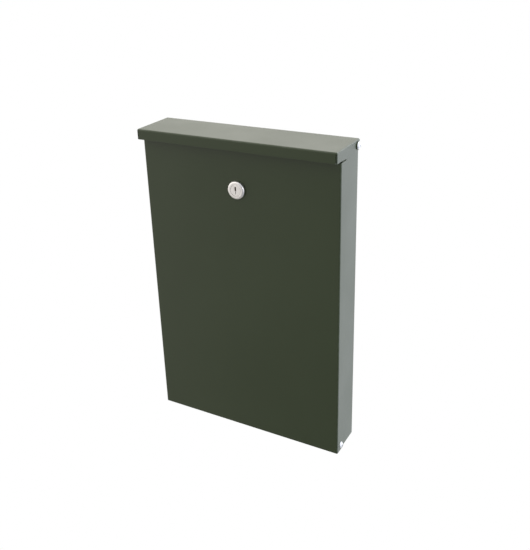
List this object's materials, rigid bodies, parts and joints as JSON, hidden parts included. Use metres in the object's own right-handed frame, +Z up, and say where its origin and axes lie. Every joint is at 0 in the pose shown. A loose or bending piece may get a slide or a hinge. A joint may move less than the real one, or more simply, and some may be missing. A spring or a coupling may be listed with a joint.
{
  "type": "wall mounted mailbox",
  "caption": "Slim wall mounted mailbox: folded sheet steel box with a lift-up lid over the mail slot and a drop-down front door held by a cam lock.",
  "frame": {"origin": "on the wall plane, at the middle of the four screw holes in the back", "axes": "+X to the right seen from the front, +Y into the wall, +Z up; the lid and the door are shut at rest"},
  "size_m": [0.257, 0.065, 0.38],
  "materials": {
    "green_coat": "semi-gloss dark green powder coat",
    "lock_plating": "bright nickel plating",
    "rivet_aluminium": "bare bright aluminium",
    "zinc_steel": "bright zinc plated steel",
    "wafer_brass": "stamped brass",
    "black_rubber": "matt black rubber"
  },
  "bodies": {
    "body": {"back_and_sides": "green_coat", "bottom_plate": "green_coat", "strike_rail": "green_coat", "lid_buffers": "black_rubber", "door_buffers": "black_rubber", "lid_hinge_rivets": "rivet_aluminium", "lid_hinge_collars": "green_coat", "lid_rivet_stems": "zinc_steel", "lid_rivet_washers": "zinc_steel", "door_hinge_rivets": "rivet_aluminium", "door_rivet_stems": "zinc_steel", "door_rivet_washers": "zinc_steel"},
    "lid": {"lid_panel": "green_coat"},
    "door": {"door_panel": "green_coat", "lock_housing": "lock_plating", "lock_gasket": "black_rubber", "lock_washer": "zinc_steel", "lock_nut": "zinc_steel"},
    "lock_core": {"lock_plug": "lock_plating", "lock_wafers": "wafer_brass", "wafer_springs": "zinc_steel", "stop_plate": "zinc_steel", "lock_cam": "zinc_steel", "cam_washer": "zinc_steel", "cam_screw": "zinc_steel"}
  },
  "joints": [
    {"name": "lid_hinge", "type": "hinge", "parent": "body", "child": "lid", "pos_m": [0, -0.01, 0.1835], "axis": [-1, 0, 0], "range_deg": [0, 90]},
    {"name": "door_hinge", "type": "hinge", "parent": "body", "child": "door", "pos_m": [0, -0.044, -0.183], "axis": [1, 0, 0], "range_deg": [0, 100]},
    {"name": "lock_turn", "type": "hinge", "parent": "door", "child": "lock_core", "pos_m": [0, -0.046, 0.1302], "axis": [0, 1, 0], "range_deg": [0, 90]}
  ]
}
